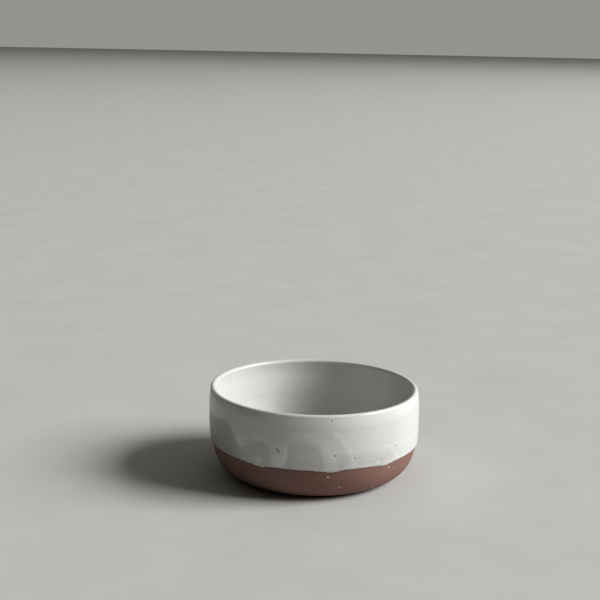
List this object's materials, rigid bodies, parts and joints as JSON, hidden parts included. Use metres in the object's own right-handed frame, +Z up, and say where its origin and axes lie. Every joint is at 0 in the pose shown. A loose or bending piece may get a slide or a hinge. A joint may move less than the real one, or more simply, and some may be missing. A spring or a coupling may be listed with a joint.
{
  "type": "prep bowl",
  "caption": "Small round hand-thrown bowl of red clay, white glazed inside and down to a sagging line above the bare clay foot, for holding measured ingredients.",
  "frame": {"origin": "middle of the foot, on the surface that the bowl stands on", "axes": "+Z up, out of the mouth; -Y towards the side that the picture shows"},
  "size_m": [0.115, 0.115, 0.0483],
  "materials": {
    "white_glaze": "satin to glossy white glaze with fine iron specks, a second dip ending in soft fingers, thinner and greyer under the lip",
    "red_clay": "unglazed, fired red clay, matt, with fine turning lines and pale grit"
  },
  "bodies": {
    "root": {"bowl": "white_glaze"}
  },
  "joints": []
}
